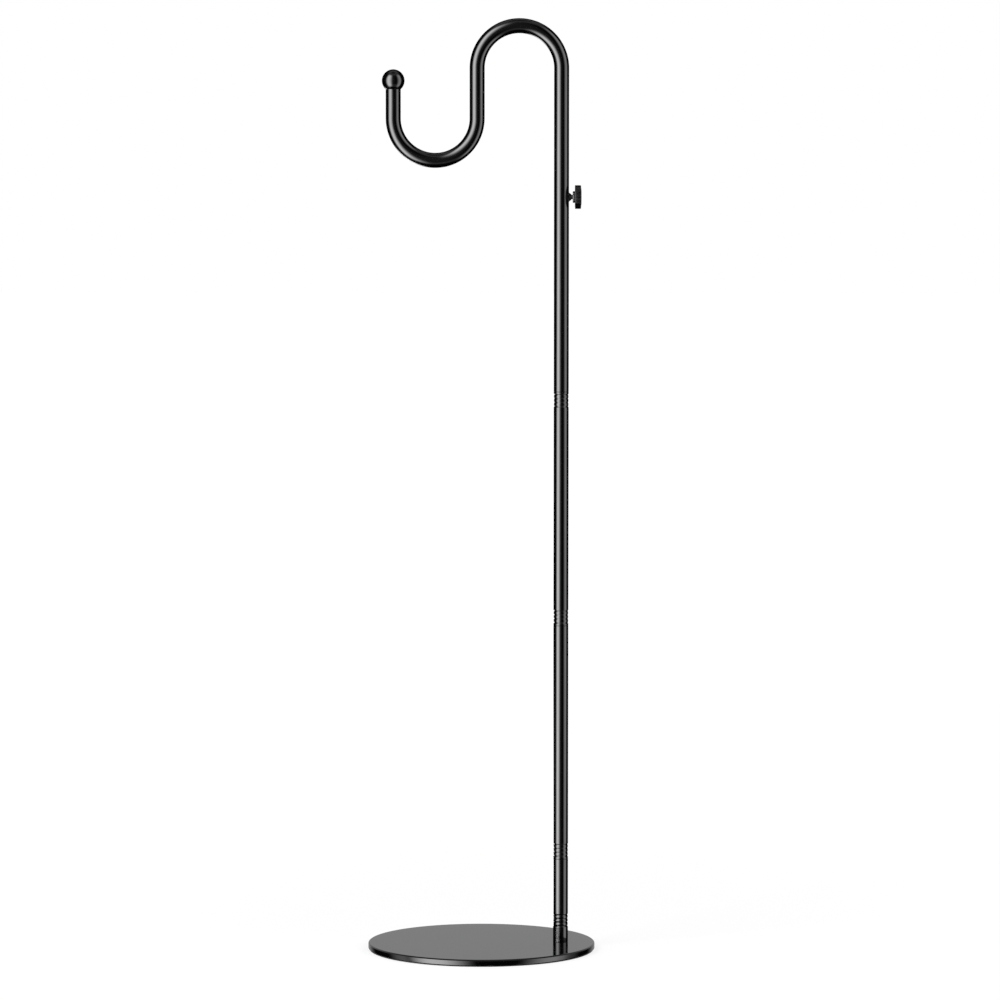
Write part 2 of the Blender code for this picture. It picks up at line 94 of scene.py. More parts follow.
# %% Helpers for materials
def linear(hex_colour):
    """Turns an sRGB hex colour such as #0B0B0C into the shader's linear values."""
    values = [int(hex_colour[start : start + 2], 16) / 255 for start in (1, 3, 5)]
    curve = [v / 12.92 if v <= 0.04045 else ((v + 0.055) / 1.055) ** 2.4 for v in values]
    return (*curve, 1.0)


def add_node(material, kind, links=None, **settings):
    """Adds a node. Settings name its options or its sockets, links name the sockets to plug."""
    node = material.node_tree.nodes.new(kind)
    for name, value in settings.items():
        if hasattr(node, name):
            setattr(node, name, value)
        else:
            node.inputs[name.replace("_", " ")].default_value = value
    for name, source in (links or {}).items():
        material.node_tree.links.new(source, node.inputs[name])
    return node


def new_material(name, hex_colour, **settings):
    """A material with one Principled shader, whose sockets are set by name."""
    material = bpy.data.materials.new(name)
    material.use_nodes = True
    shader = material.node_tree.nodes["Principled BSDF"]
    shader.inputs["Base Color"].default_value = linear(hex_colour)
    for socket, value in settings.items():
        shader.inputs[socket.replace("_", " ")].default_value = value
    return material, shader


def per_metre(size_mm):
    """The texture scale whose features are about size_mm across."""
    return 1000 / size_mm


def raise_surface(material, shader, height, depth_m, strength=1.0):
    """Gives a surface the bump that a height socket describes."""
    bump = add_node(material, "ShaderNodeBump", {"Height": height}, Strength=strength, Distance=depth_m)
    material.node_tree.links.new(bump.outputs["Normal"], shader.inputs["Normal"])


def uneven_gloss(material, shader, place, size_mm, detail, roughness):
    """Lets a cloudy noise move the roughness between two values."""
    cloud = add_node(
        material, "ShaderNodeTexNoise", {"Vector": place}, Scale=per_metre(size_mm), Detail=detail
    )
    links = {"Value": cloud.outputs["Fac"]}
    spread = add_node(material, "ShaderNodeMapRange", links, To_Min=roughness[0], To_Max=roughness[1])
    material.node_tree.links.new(spread.outputs["Result"], shader.inputs["Roughness"])


print("the paint chart's grey #808080 is", round(linear("#808080")[0], 3), "in linear light")

# %% [markdown]
# ## Gloss black enamel
#
# The tubes, the ball and the base are steel under a baked black enamel: black pigment in
# a clear, hard resin. The pigment is almost pure black, so what one sees is the resin's
# gloss, and it mirrors like any plastic, about 4 percent straight on and far more at a
# low angle. That is an IOR of 1.5. Sprayed paint is never quite flat: it has orange peel,
# a ripple a few millimetres across that is only microns deep. A noise texture as a bump
# gives it, so that long highlights waver a little and look sprayed. A second, wide noise
# changes the gloss slowly from place to place, as handling and polishing do.

# %% Make the enamel
PEEL_MM = 3.5
PEEL_DEPTH_M = 0.000004
HAZE_MM = 45
GLOSS_ROUGHNESS = (0.08, 0.14)
enamel, shader = new_material("gloss_black_enamel", "#060607", IOR=1.5)
place = add_node(enamel, "ShaderNodeTexCoord").outputs["Object"]
peel = add_node(enamel, "ShaderNodeTexNoise", {"Vector": place}, Scale=per_metre(PEEL_MM), Detail=1.0)
raise_surface(enamel, shader, peel.outputs["Fac"], PEEL_DEPTH_M)
uneven_gloss(enamel, shader, place, HAZE_MM, detail=3.0, roughness=GLOSS_ROUGHNESS)
print("enamel peel is", PEEL_MM, "mm across")

# %% [markdown]
# ## Zinc-plated steel
#
# The hidden inserts, studs and the bolt are turned steel with bright zinc on it. It is a
# real metal, so it is fully metallic and its colour is the metal's own, a pale grey with
# a touch of yellow. Turning leaves fine rings round the axis. A wave texture with bands
# stacked up the piece draws them as a faint bump. They lie 0.1 mm apart on the real piece
# and nearly 4 mm here, so that they show at all. At a scale of 1 the wave texture has 20
# radians in a metre, which is where the number of its waves comes from.

# %% Make the zinc
TURNING_MARK_MM = 3.77
TURNING_MARK_DEPTH_M = 0.00002
WAVES_AT_SCALE_ONE = 20 / (2 * math.pi)
ZINC_CLOUD_MM = 6
ZINC_ROUGHNESS = (0.24, 0.42)
zinc, shader = new_material("zinc_plated_steel", "#BDBCB4", Metallic=1.0)
place = add_node(zinc, "ShaderNodeTexCoord").outputs["Object"]
marks = add_node(
    zinc,
    "ShaderNodeTexWave",
    {"Vector": place},
    bands_direction="Z",
    Scale=per_metre(TURNING_MARK_MM) / WAVES_AT_SCALE_ONE,
    Distortion=0.4,
)
raise_surface(zinc, shader, marks.outputs["Fac"], TURNING_MARK_DEPTH_M, strength=0.2)
uneven_gloss(zinc, shader, place, ZINC_CLOUD_MM, detail=4.0, roughness=ZINC_ROUGHNESS)
print("turning marks on the zinc are", TURNING_MARK_MM, "mm apart")

# %% [markdown]
# ## Blackened steel and moulded plastic
#
# The thumb screw's stud is blackened steel, dark and half matt with a bluish sheen, and a
# little stained. Its knob is black plastic from a mould with a fine spark-eroded grain,
# so it mirrors less than the enamel. The stain is a noise in the roughness, because it
# has no depth, and the grain is a noise in the bump, because it has.

# %% Make the two blacks of the thumb screw
SCREW_STAIN_MM = 1.5
SCREW_ROUGHNESS = (0.25, 0.45)
screw_black, shader = new_material("blackened_steel", "#38383B", Metallic=0.85)
place = add_node(screw_black, "ShaderNodeTexCoord").outputs["Object"]
uneven_gloss(screw_black, shader, place, SCREW_STAIN_MM, detail=5.0, roughness=SCREW_ROUGHNESS)

GRAIN_MM = 0.35
GRAIN_DEPTH_M = 0.00002
plastic, shader = new_material("moulded_black_plastic", "#0B0B0C", Roughness=0.22, IOR=1.5)
place = add_node(plastic, "ShaderNodeTexCoord").outputs["Object"]
grain = add_node(plastic, "ShaderNodeTexNoise", {"Vector": place}, Scale=per_metre(GRAIN_MM), Detail=2.0)
raise_surface(plastic, shader, grain.outputs["Fac"], GRAIN_DEPTH_M, strength=0.35)
print("the knob's grain is", GRAIN_MM, "mm across")

# %% [markdown]
# ## Nylon and foam
#
# The guide pieces are natural nylon, a milky white that lets a little light in, so it has
# some subsurface scattering. The sheet under the base is closed-cell foam, matt, with a
# skin of tiny cells. A Voronoi texture is made of cells by itself, and as a bump it gives
# each of them its small dome.

# %% Make the nylon and the foam
NYLON_SCATTER = (0.001, 0.0008, 0.0006)
NYLON_FLOW_MM = 4
NYLON_ROUGHNESS = (0.38, 0.5)
nylon, shader = new_material("natural_nylon", "#E2DED0", IOR=1.53, Subsurface_Weight=0.15)
shader.inputs["Subsurface Radius"].default_value = NYLON_SCATTER
place = add_node(nylon, "ShaderNodeTexCoord").outputs["Object"]
uneven_gloss(nylon, shader, place, NYLON_FLOW_MM, detail=2.0, roughness=NYLON_ROUGHNESS)

CELL_MM = 0.8
CELL_DEPTH_M = 0.0001
foam, shader = new_material("closed_cell_foam", "#161616", Roughness=0.85, IOR=1.45)
place = add_node(foam, "ShaderNodeTexCoord").outputs["Object"]
cells = add_node(foam, "ShaderNodeTexVoronoi", {"Vector": place}, Scale=per_metre(CELL_MM))
raise_surface(foam, shader, cells.outputs["Distance"], CELL_DEPTH_M, strength=0.5)
print("materials:", [m.name for m in (enamel, zinc, screw_black, plastic, nylon, foam)])

# %% [markdown]
# ## Working in edit mode
#
# Three small habits make edit mode safe in a script. Deselect everything before a new
# primitive is added, pick what the next operator acts on by its place, and finish a
# piece the same way each time: normals outwards, smooth shading with sharp corners kept,
# the place baked into the mesh, the material and the body it rides on. A hole is cut by
# a second piece that is taken away from the first and then thrown out.

# %% Helpers for modelling
SHARP_ANGLE = math.radians(35)
FLAT_MARGIN = 0.0003
LEVEL_NORMAL = 0.999


def start_clean():
    """Deselects everything, so that an operator acts only on what comes next."""
    bpy.ops.object.select_all(action="DESELECT")


def pick(kind, test):
    """In edit mode, selects only the VERT, EDGE or FACE elements that pass the test."""
    bpy.ops.mesh.select_mode(type=kind)
    bpy.ops.mesh.select_all(action="DESELECT")
    mesh = bpy.context.object.data
    shape = bmesh.from_edit_mesh(mesh)
    group = {"VERT": shape.verts, "EDGE": shape.edges, "FACE": shape.faces}[kind]
    for element in group:
        element.select = test(element)
    shape.select_flush_mode()
    bmesh.update_edit_mesh(mesh)


def flat_ring(edge, height, reach=1e-5):
    """True for an edge that lies level at this height."""
    return all(abs(vertex.co.z - height) < reach for vertex in edge.verts)


def level_face(face):
    """True for a face that looks straight up or down."""
    return abs(face.normal.z) > LEVEL_NORMAL


def turn_outwards(piece):
    """Points every face's normal out of the piece."""
    start_clean()
    piece.select_set(True)
    bpy.context.view_layer.objects.active = piece
    bpy.ops.object.mode_set(mode="EDIT")
    bpy.ops.mesh.select_all(action="SELECT")
    bpy.ops.mesh.normals_make_consistent(inside=False)
    bpy.ops.object.mode_set(mode="OBJECT")


def keep_flat(test):
    """In edit mode, a narrow inset round flat faces, so that rounded edges don't shade them."""
    pick("FACE", test)
    bpy.ops.mesh.inset(thickness=FLAT_MARGIN, depth=0)


def apply_modifier(piece, kind, **settings):
    """Adds a modifier with its settings and applies it at once."""
    modifier = piece.modifiers.new(kind.lower(), kind)
    for name, value in settings.items():
        setattr(modifier, name, value)
    bpy.context.view_layer.objects.active = piece
    bpy.ops.object.modifier_apply(modifier=modifier.name)


def combine(piece, other, operation="DIFFERENCE"):
    """Takes another piece away from this one, or joins them, and throws the other out."""
    apply_modifier(piece, "BOOLEAN", object=other, operation=operation, solver="EXACT")
    bpy.data.objects.remove(other, do_unlink=True)


def give_wall(piece, thickness):
    """Turns a skin into a wall that grows inwards, so the outer size stays."""
    turn_outwards(piece)
    apply_modifier(piece, "SOLIDIFY", thickness=thickness, offset=-1)


def finish_piece(piece, material, body, nodes):
    """Closes a piece off: normals, shading, its place in its mesh, finish, body and CAD nodes."""
    turn_outwards(piece)
    bpy.ops.object.transform_apply(location=True, rotation=True, scale=True)
    bpy.ops.object.shade_smooth_by_angle(angle=SHARP_ANGLE)
    piece.data.materials.clear()
    piece.data.materials.append(material)
    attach(piece, body)
    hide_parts(*nodes)
    sides = [round(1000 * side, 2) for side in piece.dimensions]
    print(piece.name, "measures", sides, "mm and has", len(piece.data.polygons), "faces")


def spun_up(name, rings, sides, solid=True):
    """Grows a round piece from a circle: each ring is extruded from the last and scaled.

    Rings are (radius, height) in the order of growth, about the Z axis at the origin. An
    open circle has no face, so it can only be selected by its points.
    """
    start_clean()
    radius, height = rings[0]
    fill = "NGON" if solid else "NOTHING"
    bpy.ops.mesh.primitive_circle_add(
        vertices=sides, radius=radius, fill_type=fill, location=(0, 0, height)
    )
    piece = bpy.context.object
    piece.name = name
    piece.data.name = name
    bpy.ops.object.transform_apply(location=True, rotation=True, scale=True)
    bpy.ops.object.mode_set(mode="EDIT")
    bpy.ops.mesh.select_mode(type="VERT")
    bpy.ops.mesh.select_all(action="SELECT")
    for next_radius, next_height in rings[1:]:
        bpy.ops.mesh.extrude_region_move(
            TRANSFORM_OT_translate={"value": (0, 0, next_height - height)}
        )
        ratio = next_radius / radius
        if abs(ratio - 1) > 1e-6:
            bpy.ops.transform.resize(value=(ratio, ratio, 1), center_override=(0, 0, next_height))
        radius, height = next_radius, next_height
    bpy.ops.object.mode_set(mode="OBJECT")
    return piece


print("faces that meet at more than", round(math.degrees(SHARP_ANGLE)), "degrees keep a sharp edge")

# %% [markdown]
# ## What the frame says about the pole
#
# The pole's tubes are 16 mm across and stand off the middle of the base. All of that can
# be read from the solids, so nothing is typed twice. Only the rolled grooves' own sizes
# are given here, because a box round a tube doesn't tell them. The foot's four grooves
# are pressed closer together and deeper than the others.

# %% Read the pole
tube_low, tube_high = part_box("upper_tube")
POLE_X = (tube_low.x + tube_high.x) / 2
TUBE_RADIUS = (tube_high.x - tube_low.x) / 2
TUBE_SIDES = 96
SMALL_SIDES = 64

GROOVE_COUNT = 4
GROOVE_PITCH = 0.0042
FOOT_GROOVE_PITCH = 0.0039
GROOVE_HALF_WIDTH = 0.0011
GROOVE_DEPTH = 0.0006
FOOT_GROOVE_DEPTH = 0.00075
FOOT_LEAD_IN = 0.0005
CREST_DROP = 0.0002
GROOVE_END_DISTANCE = 0.0029
FOOT_GROOVE_HEIGHT = 0.0173
GROOVE_STEPS = 8
STRAIGHT_MARGIN = 0.0002
END_ROUND = 0.00025
GAP = 0.0003
SEAM = 0.00005
WALL_AT_GROOVE = 0.0005
print("pole axis at x =", round(POLE_X, 4), "tube radius", round(TUBE_RADIUS, 4))

# %% [markdown]
# ## The straight tubes and their rolled grooves
#
# On the real pole each threaded insert is held by rolling: a wheel presses four rings
# into the tube until they grip the insert inside. Between two grooves the metal stays a
# touch below the tube's surface. A groove could be painted as a bump, but its shadow
# side and its bright crest show at the silhouette, so it is worth real geometry.
#
# The tube is grown from a circle. Away from the grooves one long extrusion is enough.
# Through a groove the ring's radius follows a cosine, which has no corners, as pressed
# metal has none. One more ring just above and just below each group keeps the groove's
# shading off the long straight faces. The foot's topmost groove has a wider flank on its
# upper side, a lead-in, and shows as a black ring in the photograph. A Solidify modifier
# then gives the wall.
#
# The solids keep a gap of 0.3 mm between pieces. On the real pole the joints are screwed
# tight, so each tube is drawn up here until only a hair's seam is left.

# %% Model the straight tubes
def groove_heights(lowest, pitch):
    """The heights of the grooves' middles, from the lowest up."""
    return [lowest + pitch * index for index in range(GROOVE_COUNT)]


def grooved_rings(heights, depth=GROOVE_DEPTH, lead_in=0):
    """(radius, height) rings up through a group of grooves. A lead-in widens its last flank."""
    rings = [(TUBE_RADIUS, heights[0] - GROOVE_HALF_WIDTH - STRAIGHT_MARGIN)]
    for number, groove in enumerate(heights):
        for step in range(GROOVE_STEPS + 1):
            across = 2 * step / GROOVE_STEPS - 1
            below_first = number == 0 and across < 0
            above_last = number == len(heights) - 1 and across > 0
            shoulder = 0 if below_first or above_last else CREST_DROP
            press = (1 + math.cos(math.pi * across)) / 2
            half_width = GROOVE_HALF_WIDTH + (lead_in if above_last else 0)
            rings.append(
                (TUBE_RADIUS - shoulder - (depth - shoulder) * press, groove + half_width * across)
            )
    rings.append((TUBE_RADIUS, heights[-1] + GROOVE_HALF_WIDTH + lead_in + STRAIGHT_MARGIN))
    return rings


def rolled_tube(name, node, groups, sink=0):
    """A straight tube in a node's place, with its groups of groove rings from the bottom up."""
    low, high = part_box(node)
    bottom = low.z - sink
    top = high.z + GAP - SEAM
    rings = [(TUBE_RADIUS - END_ROUND, bottom), (TUBE_RADIUS, bottom + END_ROUND)]
    for group_rings in groups:
        rings += group_rings
    rings += [(TUBE_RADIUS, top - END_ROUND), (TUBE_RADIUS - END_ROUND, top)]
    tube = spun_up(name, rings, TUBE_SIDES, solid=False)
    tube.location = (POLE_X, 0, 0)
    give_wall(tube, WALL_AT_GROOVE)
    finish_piece(tube, enamel, "stand", [node])


foot_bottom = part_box("foot_tube")[0].z
lower_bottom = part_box("lower_tube")[0].z
upper_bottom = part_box("upper_tube")[0].z
upper_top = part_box("upper_tube")[1].z
group_height = GROOVE_PITCH * (GROOVE_COUNT - 1)

foot_group = groove_heights(foot_bottom + FOOT_GROOVE_HEIGHT, FOOT_GROOVE_PITCH)
lower_group = groove_heights(lower_bottom + GROOVE_END_DISTANCE, GROOVE_PITCH)
upper_group = groove_heights(upper_bottom + GROOVE_END_DISTANCE, GROOVE_PITCH)
top_group = groove_heights(upper_top - GROOVE_END_DISTANCE - group_height, GROOVE_PITCH)

foot_rings = grooved_rings(foot_group, FOOT_GROOVE_DEPTH, FOOT_LEAD_IN)
rolled_tube("pole_foot", "foot_tube", [foot_rings], sink=GAP - SEAM)
rolled_tube("pole_lower_length", "lower_tube", [grooved_rings(lower_group)])
rolled_tube("pole_upper_length", "upper_tube", [grooved_rings(upper_group), grooved_rings(top_group)])

# %% [markdown]
# ## The bent hook
#
# The hook is one tube that a bending machine drew twice round a former: over the arch
# and under the bowl. It is made the same way here. A ring at the mouth is pulled up the
# leg, spun half a turn round the arch's centre, pulled down the middle arm, spun the
# other way round the bowl's centre, and pulled up to the tip. A curve with a round bevel
# would do as well, but the spin shows where each bend starts and gives even quads. The tip
# ends a hair lower than the plain solid does, where the photograph has the ball's seam.
# The drill for the thumb screw starts inside the leg, so it goes through one wall only.

# %% Model the hook
hook_low, hook_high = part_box("hook_tube")
screw_low, screw_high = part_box("clamp_screw")
SCREW_RADIUS = (screw_high.z - screw_low.z) / 2
clamp_z = (screw_low.z + screw_high.z) / 2
ARCH_BEND = 0.045
BOWL_BEND = 0.0447
HOOK_WALL = 0.0008
BEND_STEPS = 72
BALL_FOOT_DROP = 0.0009
MIDDLE_ARM = 0.0535
THREAD_SIDES = 48
DRILL_START_SHARE = 0.2

arch_x = POLE_X - ARCH_BEND
arch_z = hook_high.z - TUBE_RADIUS - ARCH_BEND
middle_x = arch_x - ARCH_BEND
bowl_x = middle_x - BOWL_BEND
tip_x = bowl_x - BOWL_BEND
bowl_z = arch_z - MIDDLE_ARM
ball_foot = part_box("ball_finial")[0].z - BALL_FOOT_DROP
tip_top = ball_foot + SEAM

mouth_rings = [(TUBE_RADIUS - END_ROUND, hook_low.z), (TUBE_RADIUS, hook_low.z + END_ROUND)]
hook = spun_up("bent_hook", mouth_rings, TUBE_SIDES, solid=False)
hook.location = (POLE_X, 0, 0)
bpy.ops.object.transform_apply(location=True, rotation=False, scale=False)
bpy.ops.object.mode_set(mode="EDIT")
pick("EDGE", lambda edge: flat_ring(edge, hook_low.z + END_ROUND))
bpy.ops.mesh.extrude_region_move(
    TRANSFORM_OT_translate={"value": (0, 0, arch_z - hook_low.z - END_ROUND)}
)
bpy.ops.mesh.spin(steps=BEND_STEPS, angle=math.pi, center=(arch_x, 0, arch_z), axis=(0, 1, 0))
bpy.ops.mesh.extrude_region_move(TRANSFORM_OT_translate={"value": (0, 0, -MIDDLE_ARM)})
bpy.ops.mesh.spin(steps=BEND_STEPS, angle=math.pi, center=(bowl_x, 0, bowl_z), axis=(0, -1, 0))
bpy.ops.mesh.extrude_region_move(TRANSFORM_OT_translate={"value": (0, 0, tip_top - bowl_z)})
bpy.ops.object.mode_set(mode="OBJECT")
give_wall(hook, HOOK_WALL)

drill_start = DRILL_START_SHARE * TUBE_RADIUS
drill_length = 2 * TUBE_RADIUS
start_clean()
bpy.ops.mesh.primitive_cylinder_add(
    vertices=THREAD_SIDES,
    radius=SCREW_RADIUS + GAP,
    depth=drill_length,
    location=(POLE_X + drill_start + drill_length / 2, 0, clamp_z),
    rotation=(0, math.pi / 2, 0),
)
combine(hook, bpy.context.object)
finish_piece(hook, enamel, "hook", ["hook_tube"])

# %% [markdown]
# ## The ball on the tip
#
# The ball is 24 mm across and has a flat foot as wide as the tube, whose end it sits on. A
# UV sphere has its poles up and down, where the foot is cut anyway. Bisect cuts the foot
# and fills it, and a bevel rounds its edge, which draws the dark seam above the tube.

# %% Model the ball
ball_low, ball_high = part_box("ball_finial")
BALL_RADIUS = (ball_high.x - ball_low.x) / 2
BALL_FOOT_ROUND = 0.0006
start_clean()
bpy.ops.mesh.primitive_uv_sphere_add(
    segments=96, ring_count=64, radius=BALL_RADIUS, location=(tip_x, 0, ball_high.z - BALL_RADIUS)
)
ball = bpy.context.object
ball.name = "tip_ball"
bpy.ops.object.transform_apply(location=True, rotation=False, scale=False)
bpy.ops.object.mode_set(mode="EDIT")
bpy.ops.mesh.select_all(action="SELECT")
bpy.ops.mesh.bisect(plane_co=(0, 0, ball_foot), plane_no=(0, 0, -1), use_fill=True, clear_outer=True)
pick("EDGE", lambda edge: flat_ring(edge, ball_foot))
bpy.ops.mesh.bevel(offset=BALL_FOOT_ROUND, segments=3, affect="EDGES")
bpy.ops.object.mode_set(mode="OBJECT")
finish_piece(ball, enamel, "hook", ["ball_finial"])

# %% [markdown]
# ## The base
#
# The base is a disc punched from 6 mm steel plate. Punching pulls the upper edge down into
# a round of more than a millimetre, and the lower edge only gets its burr taken off. The
# upper round is small, yet it draws the fine dark line between top and side. From below,
# a countersunk hole takes the bolt that holds the pole. The hole is a Boolean, since it
# lies off the disc's centre.

# %% Model the base
plate_low, plate_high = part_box("base_plate")
BASE_RADIUS = plate_high.x
TOP_ROUND = 0.0014
BOTTOM_ROUND = 0.0006
HEAD_RADIUS = 0.008
HEAD_HEIGHT = 0.0044
BOLT_RADIUS = 0.004
OVERRUN = 0.002

start_clean()
bpy.ops.mesh.primitive_cylinder_add(
    vertices=256,
    radius=BASE_RADIUS,
    depth=plate_high.z - plate_low.z,
    location=(0, 0, (plate_low.z + plate_high.z) / 2),
)
disc = bpy.context.object
disc.name = "base_disc"
bpy.ops.object.transform_apply(location=True, rotation=False, scale=False)
bpy.ops.object.mode_set(mode="EDIT")
pick("EDGE", lambda edge: flat_ring(edge, plate_high.z))
bpy.ops.mesh.bevel(offset=TOP_ROUND, segments=8, affect="EDGES")
pick("EDGE", lambda edge: flat_ring(edge, plate_low.z))
bpy.ops.mesh.bevel(offset=BOTTOM_ROUND, segments=4, affect="EDGES")
keep_flat(level_face)
bpy.ops.object.mode_set(mode="OBJECT")

sink = spun_up(
    "sink_cutter",
    [
        (HEAD_RADIUS + GAP, plate_low.z - OVERRUN),
        (HEAD_RADIUS + GAP, plate_low.z + GAP),
        (BOLT_RADIUS + GAP, plate_low.z + GAP + HEAD_HEIGHT),
        (BOLT_RADIUS + GAP, plate_high.z + OVERRUN),
    ],
    SMALL_SIDES,
)
sink.location = (POLE_X, 0, 0)
combine(disc, sink)
finish_piece(disc, enamel, "stand", ["base_plate"])

# %% [markdown]
# ## Under the base
#
# A thin sheet of foam keeps the plate from sliding and scratching. It is cut a little
# smaller than the disc and has a round hole, so that a hex key reaches the bolt. The
# bolt's head is a cone with its hexagon socket pressed in, a six-sided hole that a
# six-sided cutter makes here.

# %% Model the pad and the bolt
pad_low, pad_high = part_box("base_pad")
PAD_HOLE_RADIUS = 0.0115
PAD_ROUND = 0.0002
start_clean()
bpy.ops.mesh.primitive_cylinder_add(
    vertices=192,
    radius=pad_high.x,
    depth=pad_high.z - pad_low.z,
    location=(0, 0, (pad_low.z + pad_high.z) / 2),
)
pad = bpy.context.object
pad.name = "non_slip_sheet"
bpy.ops.object.transform_apply(location=True, rotation=False, scale=False)
bpy.ops.object.mode_set(mode="EDIT")
pick("EDGE", lambda edge: flat_ring(edge, pad_low.z) or flat_ring(edge, pad_high.z))
bpy.ops.mesh.bevel(offset=PAD_ROUND, segments=2, affect="EDGES")
keep_flat(level_face)
bpy.ops.object.mode_set(mode="OBJECT")
start_clean()
bpy.ops.mesh.primitive_cylinder_add(
    vertices=SMALL_SIDES,
    radius=PAD_HOLE_RADIUS,
    depth=pad_high.z + 2 * OVERRUN,
    location=(POLE_X, 0, pad_high.z / 2),
)
combine(pad, bpy.context.object)
finish_piece(pad, foam, "stand", ["base_pad"])

bolt_low, bolt_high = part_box("base_bolt")
KEY_WIDTH = 0.005
KEY_DEPTH = 0.003
HEAD_EDGE = 0.0004
bolt = spun_up(
    "countersunk_bolt",
    [
        (HEAD_RADIUS - HEAD_EDGE / 2, bolt_low.z),
        (HEAD_RADIUS, bolt_low.z + HEAD_EDGE / 2),
        (BOLT_RADIUS, bolt_low.z + HEAD_HEIGHT),
        (BOLT_RADIUS, bolt_high.z - HEAD_EDGE),
        (BOLT_RADIUS - HEAD_EDGE, bolt_high.z),
    ],
    SMALL_SIDES,
)
bolt.location = (POLE_X, 0, 0)
start_clean()
bpy.ops.mesh.primitive_cylinder_add(
    vertices=6,
    radius=KEY_WIDTH / math.sqrt(3),
    depth=KEY_DEPTH + OVERRUN,
    location=(POLE_X, 0, bolt_low.z + (KEY_DEPTH - OVERRUN) / 2),
)
combine(bolt, bpy.context.object)
finish_piece(bolt, zinc, "stand", ["base_bolt"])

# %% [markdown]
# ## The mast and its guides
#
# Inside the hook's leg runs a thinner tube, the mast. It is hidden in the photograph and
# comes to light when the hook is raised, so it needs a round, finished surface too. The
# bush in the leg's mouth and the cap on the mast are plain nylon turnings.

# %% Model the mast, bush and cap
MAST_WALL = 0.001
MAST_ROUND = 0.0003


def round_sleeve(name, node, wall, material, body):
    """A plain tube in the place of a node, with its end corners taken off."""
    low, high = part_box(node)
    radius = (high.x - low.x) / 2
    rings = [
        (radius - MAST_ROUND, low.z),
        (radius, low.z + MAST_ROUND),
        (radius, high.z - MAST_ROUND),
        (radius - MAST_ROUND, high.z),
    ]
    sleeve = spun_up(name, rings, TUBE_SIDES, solid=False)
    sleeve.location = (POLE_X, 0, 0)
    give_wall(sleeve, wall)
    finish_piece(sleeve, material, body, [node])


bush_low, bush_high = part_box("guide_bush")
mast_low, mast_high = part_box("mast")
mast_radius = (mast_high.x - mast_low.x) / 2
bush_wall = (bush_high.x - bush_low.x) / 2 - mast_radius - GAP
round_sleeve("inner_mast", "mast", MAST_WALL, enamel, "stand")
round_sleeve("leg_bush", "guide_bush", bush_wall, nylon, "hook_guide")

cap_low, cap_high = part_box("mast_cap")
CAP_HEAD_RADIUS = (cap_high.x - cap_low.x) / 2
CAP_HEAD_HEIGHT = 0.006
CAP_CHAMFER = 0.0012
CAP_UNDERSIDE_RISE = 0.00001
cap_neck = mast_radius - MAST_WALL - GAP
cap = spun_up(
    "mast_top_cap",
    [
        (cap_neck, cap_low.z),
        (cap_neck, cap_high.z - CAP_HEAD_HEIGHT),
        (CAP_HEAD_RADIUS, cap_high.z - CAP_HEAD_HEIGHT + CAP_UNDERSIDE_RISE),
        (CAP_HEAD_RADIUS, cap_high.z - CAP_CHAMFER),
        (CAP_HEAD_RADIUS - CAP_CHAMFER, cap_high.z),
    ],
    SMALL_SIDES,
)
cap.location = (POLE_X, 0, 0)
finish_piece(cap, nylon, "stand", ["mast_cap"])

# %% [markdown]
# ## The thumb screw
#
# The clamp has three pieces in view. A small cone is welded to the leg and drilled
# through, so its rings go up the outside and back down the bore. The stud winds through
# it, and its thread shows in the short gap before the knob. A thread is a helix, so its
# surface goes in and out as one walks along it and also as one walks round it. Moving
# each vertex of a fine cylinder by that rule gives a closed thread with no seam to stitch.
#
# All three are grown upwards and then laid along X, out from the pole.

# %% Model the boss and the stud
boss_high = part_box("clamp_boss")[1]
knob_low, knob_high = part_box("clamp_knob")
THREAD_PITCH = 0.0008
THREAD_DEPTH = 0.00032
THREAD_STEPS = 8
BOSS_FOOT = 0.005
BOSS_TIP = 0.0031
BOSS_WAIST = 0.0002
BOSS_STEPS = 10
BOSS_START_SHARE = 0.8
WELD_RISE = 0.0004


def lay_along_x(piece):
    """Turns a piece that was grown up Z so that it points along +X from the pole's axis."""
    piece.rotation_euler = (0, math.pi / 2, 0)
    piece.location = (POLE_X, 0, clamp_z)


boss_end = boss_high.x - POLE_X
boss_foot = TUBE_RADIUS * BOSS_START_SHARE
boss_bore = SCREW_RADIUS + GAP
boss_rings = [(boss_bore, boss_foot), (BOSS_FOOT, boss_foot), (BOSS_FOOT, TUBE_RADIUS - WELD_RISE)]
for step in range(1, BOSS_STEPS + 1):
    along = step / BOSS_STEPS
    waist = math.sin(along * math.pi) * BOSS_WAIST
    boss_rings.append(
        (
            BOSS_FOOT + (BOSS_TIP - BOSS_FOOT) * along - waist,
            TUBE_RADIUS + (boss_end - TUBE_RADIUS) * along,
        )
    )
boss_rings += [(boss_bore, boss_end), (boss_bore, boss_foot)]
boss = spun_up("welded_boss", boss_rings, SMALL_SIDES, solid=False)
bpy.ops.object.mode_set(mode="EDIT")
bpy.ops.mesh.select_all(action="SELECT")
bpy.ops.mesh.remove_doubles(threshold=SEAM)
bpy.ops.object.mode_set(mode="OBJECT")
lay_along_x(boss)
finish_piece(boss, enamel, "hook", ["clamp_boss"])

